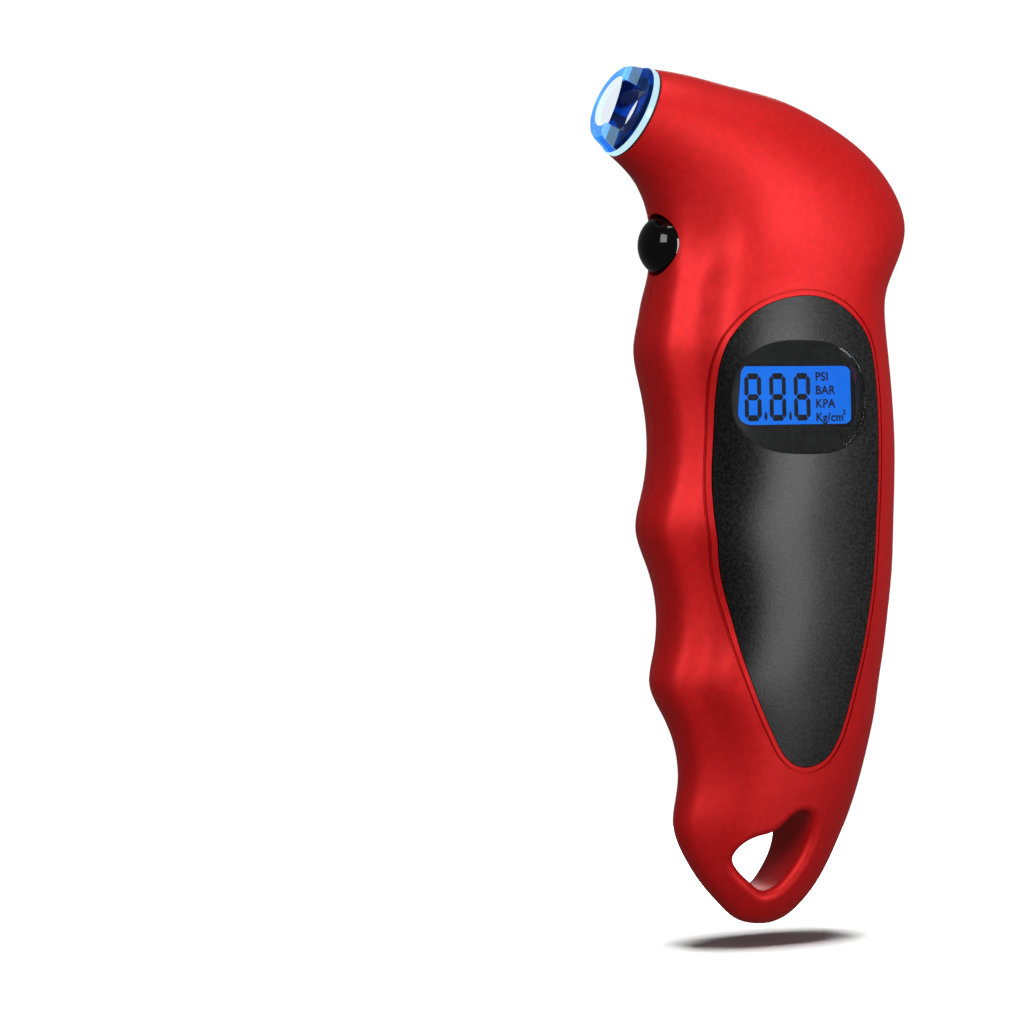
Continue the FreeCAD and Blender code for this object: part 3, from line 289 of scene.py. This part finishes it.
def satin_red():
    s = Shader("housing_red")
    s.set(Metallic=0.40, Specular_IOR_Level=0.25)
    dark, light = (0.44, 0.0047, 0.0055), (0.49, 0.0063, 0.0075)
    s.link("Base Color", s.ramp(s.noise(900.0, 3.0), (0.35, dark), (0.65, light)))
    s.rough(2500.0, 0.47, 0.53)
    return s.bump(s.noise(6000.0, 1.0), FINE_BUMP).material


def charcoal():
    s = Shader("panel_charcoal")
    grain = s.noise(2200.0, 3.0, 0.7)
    s.link("Base Color", s.ramp(grain, (0.42, (0.001, 0.001, 0.001)), (0.64, (0.018, 0.018, 0.018))))
    s.set(Roughness=0.40, Specular_IOR_Level=0.30)
    return s.bump(grain, GRAIN_BUMP, 0.8).material


def clear_lens():
    s = Shader("lens_clear")
    s.set(Base_Color=(0.95, 0.96, 0.98), IOR=1.49, Transmission_Weight=1.0)
    return s.rough(400.0, 0.015, 0.04).material


def black_film():
    s = Shader("film_black")
    s.set(Roughness=0.4)
    s.link("Base Color", s.ramp(s.noise(1500.0), (0.3, (0.003, 0.003, 0.003)), (0.7, (0.006, 0.006, 0.006))))
    return s.material


def lit_display():
    s = Shader("display_blue")
    s.set(Base_Color=(0.0, 0.02, 0.10), Roughness=0.3, Emission_Strength=1.0)
    s.link("Emission Color", s.ramp(s.noise(120.0), (0.3, (0.0, 0.15, 0.83)), (0.7, (0.0, 0.18, 0.87))))
    return s.material


def gloss_black():
    s = Shader("button_black")
    s.set(Base_Color=(0.001, 0.001, 0.001), Specular_IOR_Level=0.06, Coat_Weight=0.38, Coat_Roughness=0.03)
    return s.rough(800.0, 0.08, 0.14).material


def lit_nozzle():
    """Clear moulding with painted glow, white in the bore, blue on the ring, and painted shade and
    highlights.
    """
    s = Shader("nozzle_lit")
    offset = s.math("SUBTRACT", s.place(), tuple(NOZZLE_MOUTH))
    along = s.math("DOT_PRODUCT", offset, tuple(NOZZLE_AXIS))
    split = s.node("SeparateXYZ", Vector=s.place()).outputs["Y"]
    square = s.math("DOT_PRODUCT", offset, offset)
    radius = s.number("SQRT", s.number("SUBTRACT", square, s.number("MULTIPLY", along, along)))
    inside = s.number("LESS_THAN", radius, BORE_RADIUS)
    slant = s.number("ADD", along, s.number("MULTIPLY", split, BORE_SLANT))
    # Painted light: the white glow in the bore, from a slant onward.
    painted_bore_light = s.number("MULTIPLY", inside, s.number("GREATER_THAN", slant, BORE_LIT_FROM))
    # Painted shade: inside the bore and on the display side of the notch's wall, near the mouth.
    shade = s.number("MAXIMUM", inside, s.number("LESS_THAN", split, NOTCH_WALL))
    shade = s.number("MULTIPLY", shade, s.number("LESS_THAN", along, NOTCH_REACH))
    # Painted highlight: a pale line along the notch's wall.
    notch_wall_highlight = s.number("COMPARE", split, NOTCH_WALL)
    notch_wall_highlight.node.inputs[2].default_value = NOTCH_STEP
    # Painted highlight round the outer edge of the nozzle.
    outer_edge_highlight = s.number("GREATER_THAN", radius, RIM_RADIUS)
    lip = s.number("GREATER_THAN", along, LIP_FROM)
    ring = s.ramp(s.noise(CLOUD_SCALE), (0.35, (0.0, 0.10, 0.75)), (0.65, (0.03, 0.36, 1.0)))
    painted_notch_shade = s.ramp(s.noise(CLOUD_SCALE, 1.0), (0.46, (0.0, 0.003, 0.045)), (0.66, (0.0, 0.045, 0.42)))
    color = s.blend(shade, ring, painted_notch_shade)
    color = s.blend(s.number("MULTIPLY", lip, PALE_SHARE), color, (0.25, 0.65, 1.0))
    color = s.blend(s.number("MULTIPLY", notch_wall_highlight, PALE_SHARE), color, (0.45, 0.80, 1.0))
    color = s.blend(painted_bore_light, color, (0.88, 0.95, 1.0))
    color = s.blend(outer_edge_highlight, color, (0.62, 0.92, 1.0))
    # Emission throughout: the lamp's light painted in as glow on the clear moulding.
    s.link("Emission Color", color)
    # Base colour darker under the painted shade.
    s.link("Base Color", s.blend(shade, (0.03, 0.12, 0.35), (0.0, 0.004, 0.02)))
    s.set(Roughness=0.10, IOR=1.49, Specular_IOR_Level=0.12, Emission_Strength=0.9)
    return s.material


def lit_seal():
    """Rubber face at the bottom of the bore with painted glow, and painted shade under the notch."""
    s = Shader("seal_painted_glow")
    split = s.node("SeparateXYZ", Vector=s.place()).outputs["Y"]
    # Painted shade on the display side of the notch's wall: dark emission and base colour.
    shade = s.number("LESS_THAN", split, NOTCH_WALL)
    light = s.ramp(s.noise(500.0), (0.3, (0.72, 0.90, 1.0)), (0.7, (0.90, 0.97, 1.0)))
    s.link("Emission Color", s.blend(shade, light, (0.0, 0.03, 0.28)))
    s.link("Base Color", s.blend(shade, (0.5, 0.5, 0.5), (0.02, 0.03, 0.06)))
    s.set(Emission_Strength=0.5, Roughness=0.6)
    return s.material


def plastic(name, dark, light, roughness=0.45, scale=1500.0):
    s = Shader(name)
    s.set(Roughness=roughness)
    s.link("Base Color", s.ramp(s.noise(scale), (0.3, dark), (0.7, light)))
    return s.bump(s.noise(scale * 2), FINE_BUMP).material


def metal(name, dark, light, roughness=0.3):
    s = Shader(name)
    s.set(Metallic=1.0)
    s.link("Base Color", s.ramp(s.noise(1200.0), (0.3, dark), (0.7, light)))
    return s.rough(2500.0, roughness - METAL_SMOOTHER, roughness + METAL_ROUGHER).material


# Glowing part. The LED is a true lamp; on the light guide and the chuck its light is painted in as glow.
def glow(name, color, strength):
    s = Shader(name)
    s.set(Base_Color=color, Roughness=0.4, Emission_Strength=strength)
    dim = tuple(c * GLOW_DIM for c in color)
    s.link("Emission Color", s.ramp(s.noise(900.0), (0.3, dim), (0.7, color)))
    return s.material


RED = satin_red()
STEEL = metal("steel", (0.50, 0.50, 0.50), (0.62, 0.62, 0.62))
RUBBER = plastic("rubber_black", (0.008, 0.008, 0.008), (0.018, 0.018, 0.018), 0.7)
FINISH = {
    "housing_plastic": RED,
    "door_plastic": RED,
    "panel_plastic": charcoal(),
    "lens_plastic": clear_lens(),
    "mask_film": black_film(),
    "frame_plastic": plastic("frame_black", (0.006, 0.006, 0.006), (0.012, 0.012, 0.012)),
    "lcd_glass": lit_display(),
    # Light guide: the lamp's light painted in as glow.
    "guide_plastic": glow("guide_painted_glow", (0.5, 0.75, 1.0), 0.5),
    "connector_rubber": plastic("strip_rubber", (0.10, 0.10, 0.10), (0.2, 0.2, 0.2), 0.7),
    "board_laminate": plastic("board_green", (0.006, 0.06, 0.02), (0.01, 0.10, 0.03), 0.35),
    "chip_resin": plastic("chip_black", (0.01, 0.01, 0.01), (0.02, 0.02, 0.02), 0.5),
    "component_body": plastic("component_tan", (0.30, 0.22, 0.14), (0.42, 0.33, 0.22), 0.5),
    "button_plastic": gloss_black(),
    "plunger_plastic": plastic("plunger_dark", (0.02, 0.02, 0.02), (0.04, 0.04, 0.04)),
    "switch_body": plastic("switch_dark", (0.015, 0.015, 0.015), (0.03, 0.03, 0.03)),
    "nozzle_plastic": lit_nozzle(),
    "gasket_rubber": RUBBER,
    "seal_rubber": lit_seal(),
    "depressor_brass": metal("brass", (0.60, 0.42, 0.16), (0.72, 0.52, 0.22)),
    # Chuck: the lamp's light painted in as glow inside the bore.
    "chuck_plastic": glow("chuck_painted_glow", (0.45, 0.75, 1.0), 0.6),
    "led_resin": glow("lamp_glow", (0.6, 0.85, 1.0), 3.0),
    "sensor_metal": STEEL,
    "retainer_steel": STEEL,
    "cell_steel": metal("cell_nickel", (0.62, 0.62, 0.60), (0.74, 0.74, 0.72), 0.25),
    "contact_metal": metal("contact_nickel", (0.55, 0.53, 0.48), (0.66, 0.64, 0.58), 0.28),
    "screw_steel": metal("screw_zinc", (0.30, 0.30, 0.30), (0.42, 0.42, 0.42), 0.32),
}


def dress_cad():
    slots = {part["node"]: part["material_slot"] for part in frame["record"]["subparts"]}
    for name, obj in frame["nodes"].items():
        material = FINISH[slots[name]]
        if not obj.material_slots:
            obj.data.materials.append(material)
        for slot in obj.material_slots:
            slot.material = material


# --- display figures ----------------------------------------------------------------------------------

DISPLAY_TILT = math.radians(1.5)      # the display sits a little askew
DIGIT_W, DIGIT_H = 3.0, 7.6           # all in millimetres, on the display's face
DIGIT_STROKE, DIGIT_BAR = 0.72, 0.96  # thickness of the upright and the level segments
DIGIT_STEP, FIRST_DIGIT, DIGIT_Y = 4.47, -7.45, -0.25
SEGMENT_GAP = 0.07
END_BAR_INSET, END_BAR_BEVEL, END_BAR_SLANT = 0.42, 0.3, 0.35
MIDDLE_TIP, MIDDLE_SHOULDER = 0.45, 0.8
SIDE_FOOT, SIDE_NOTCH_X, SIDE_NOTCH_Y, SIDE_KNEE = 0.45, 0.3, 0.12, 0.5
SIDE_HEAD_X, SIDE_HEAD_Y, SIDE_TOP = 0.4, 0.42, 0.85
POINT_SHIFT, POINT_Y = 0.02, -3.3
POINT_OUTLINE = [(-0.28, 0), (-0.16, -0.62), (0.16, -0.62), (0.28, 0), (0.1, 0.75), (-0.1, 0.75)]
INK_LOW, INK_DEPTH = 0.005, 0.02
UNITS_LEFT = 3.95
UNIT_HEIGHT = 1.35
UNIT_LINES = [("PSI", 0, 3.0, UNIT_HEIGHT), ("BAR", 0, 0.83, UNIT_HEIGHT), ("KPA", 0, -1.33, UNIT_HEIGHT),
              ("Kg/cm", 0, -3.5, UNIT_HEIGHT), ("2", 5.0, -2.75, 0.8)]    # text, right, up, letter height
FONT_SIZE, FONT_SPACING = 1.42, 1.06  # size against letter height, and spread
FONT_BOLD, FONT_HALF_DEPTH, UNIT_LIFT = 0.045, 0.007, 0.012
BORDER_INNER, BORDER_OUTER, BORDER_ROUND = (20.8, 9.3), (22.7, 13.2), 1.3
BORDER_LOW, BORDER_HIGH = 0.305, 0.33


def display_frame():
    """Matrix from millimetres on the display (right, up, towards the viewer) to the row frame."""
    low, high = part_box("lcd_glass")
    centre = Vector(((low.x + high.x) / 2, low.y, (low.z + high.z) / 2))
    axes = Matrix(((1, 0, 0, 0), (0, 0, -1, 0), (0, 1, 0, 0), (0, 0, 0, 1)))
    turn = Matrix.Rotation(-DISPLAY_TILT, 4, "Y")
    return Matrix.Translation(centre) @ turn @ axes @ Matrix.Scale(MM, 4)


def add_piece(name, mesh, material, body="housing"):
    piece = bpy.data.objects.new(name, mesh)
    scene.collection.objects.link(piece)
    mesh.materials.append(material)
    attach(piece, body)
    return piece


def stamp(bm, outline, low, high):
    """Prism over a flat outline, between two heights."""
    bottom = [bm.verts.new((x, y, low)) for x, y in outline]
    top = [bm.verts.new((x, y, high)) for x, y in outline]
    bm.faces.new(top)
    bm.faces.new(reversed(bottom))
    for i in range(len(outline)):
        j = (i + 1) % len(outline)
        bm.faces.new((bottom[i], bottom[j], top[j], top[i]))


def digit_segments(x, y):
    """Outlines of the seven segments of one digit centred on (x, y)."""
    w, h, t, b = DIGIT_W / 2, DIGIT_H / 2, DIGIT_STROKE, DIGIT_BAR
    gap, cut, bevel, slant = SEGMENT_GAP, END_BAR_INSET, END_BAR_BEVEL, END_BAR_SLANT
    top = [(-w + cut + gap, h - bevel), (-w + cut + bevel, h), (w - cut - bevel, h),
           (w - cut - gap, h - bevel), (w - cut - slant, h - b), (-w + cut + slant, h - b)]
    bottom = [(px, -py) for px, py in reversed(top)]
    middle = [(-w + MIDDLE_TIP, 0), (-w + MIDDLE_SHOULDER, b / 2), (w - MIDDLE_SHOULDER, b / 2),
              (w - MIDDLE_TIP, 0), (w - MIDDLE_SHOULDER, -b / 2), (-w + MIDDLE_SHOULDER, -b / 2)]
    side = [(-w, gap + SIDE_FOOT), (-w + SIDE_NOTCH_X, gap + SIDE_NOTCH_Y), (-w + t, gap + SIDE_KNEE),
            (-w + t, h - b), (-w + SIDE_HEAD_X, h - SIDE_HEAD_Y), (-w, h - SIDE_TOP)]
    sides = [side, [(-px, py) for px, py in reversed(side)]]
    sides += [[(px, -py) for px, py in reversed(shape)] for shape in sides]
    return [[(x + px, y + py) for px, py in shape] for shape in [top, bottom, middle] + sides]


def add_digits(place, ink):
    """Three eights with a decimal point after the first and the second."""
    bm = bmesh.new()
    for i in range(3):
        for shape in digit_segments(FIRST_DIGIT + i * DIGIT_STEP, DIGIT_Y):
            stamp(bm, shape, INK_LOW, INK_DEPTH)
    for i in range(2):
        x = FIRST_DIGIT + (i + 0.5) * DIGIT_STEP + POINT_SHIFT
        stamp(bm, [(x + px, POINT_Y + py) for px, py in POINT_OUTLINE], INK_LOW, INK_DEPTH)
    mesh = bpy.data.meshes.new("display_digits")
    bmesh.ops.recalc_face_normals(bm, faces=bm.faces)
    bm.to_mesh(mesh)
    bm.free()
    mesh.transform(place)
    add_piece("display_digits", mesh, ink)


def add_units(place, ink):
    """Unit names beside the digits."""
    for number, (text, right, up, height) in enumerate(UNIT_LINES):
        curve = bpy.data.curves.new("unit_%d" % number, "FONT")
        curve.body = text
        curve.size = height * FONT_SIZE
        curve.extrude = FONT_HALF_DEPTH
        curve.offset = FONT_BOLD
        curve.space_character = FONT_SPACING
        helper = bpy.data.objects.new("unit_text", curve)
        scene.collection.objects.link(helper)
        bpy.context.view_layer.update()
        solid = helper.evaluated_get(bpy.context.evaluated_depsgraph_get())
        mesh = bpy.data.meshes.new_from_object(solid)
        bpy.data.objects.remove(helper)
        mesh.transform(place @ Matrix.Translation((UNITS_LEFT + right, up - height / 2, UNIT_LIFT)))
        mesh.name = "display_unit_%d" % number
        add_piece("display_unit_%d" % number, mesh, ink)


def rounded_rectangle(width, height, radius, steps=8):
    points = []
    for corner, (sx, sy) in enumerate(((1, 1), (-1, 1), (-1, -1), (1, -1))):
        for i in range(steps + 1):
            angle = math.pi / 2 * (corner + i / steps)
            points.append((sx * (width / 2 - radius) + radius * math.cos(angle),
                           sy * (height / 2 - radius) + radius * math.sin(angle)))
    return points


def ring_mesh(name, inner, outer, low, high):
    """Flat ring between two outlines with the same number of points."""
    bm = bmesh.new()
    count = len(inner)
    in_low, out_low, in_high, out_high = (
        [bm.verts.new((x, y, z)) for x, y in outline] for z in (low, high) for outline in (inner, outer))
    for i in range(count):
        j = (i + 1) % count
        bm.faces.new((in_high[i], out_high[i], out_high[j], in_high[j]))
        bm.faces.new((in_low[j], out_low[j], out_low[i], in_low[i]))
        bm.faces.new((out_low[i], out_low[j], out_high[j], out_high[i]))
        bm.faces.new((in_low[j], in_low[i], in_high[i], in_high[j]))
    mesh = bpy.data.meshes.new(name)
    bmesh.ops.recalc_face_normals(bm, faces=bm.faces)
    bm.to_mesh(mesh)
    bm.free()
    return mesh


def add_border(place):
    """Black border with round corners on the display frame."""
    inner = rounded_rectangle(*BORDER_INNER, BORDER_ROUND)
    outer = rounded_rectangle(*BORDER_OUTER, BORDER_ROUND)
    mesh = ring_mesh("display_border", inner, outer, BORDER_LOW, BORDER_HIGH)
    mesh.transform(place)
    add_piece("display_border", mesh, FINISH["mask_film"])


def add_display():
    place = display_frame()
    ink = plastic("display_ink", (0.002, 0.004, 0.014), (0.004, 0.008, 0.022), 0.5, 3000.0)
    add_digits(place, ink)
    add_units(place, ink)
    add_border(place)


add_studio(add_floor())
dress_cad()
add_display()
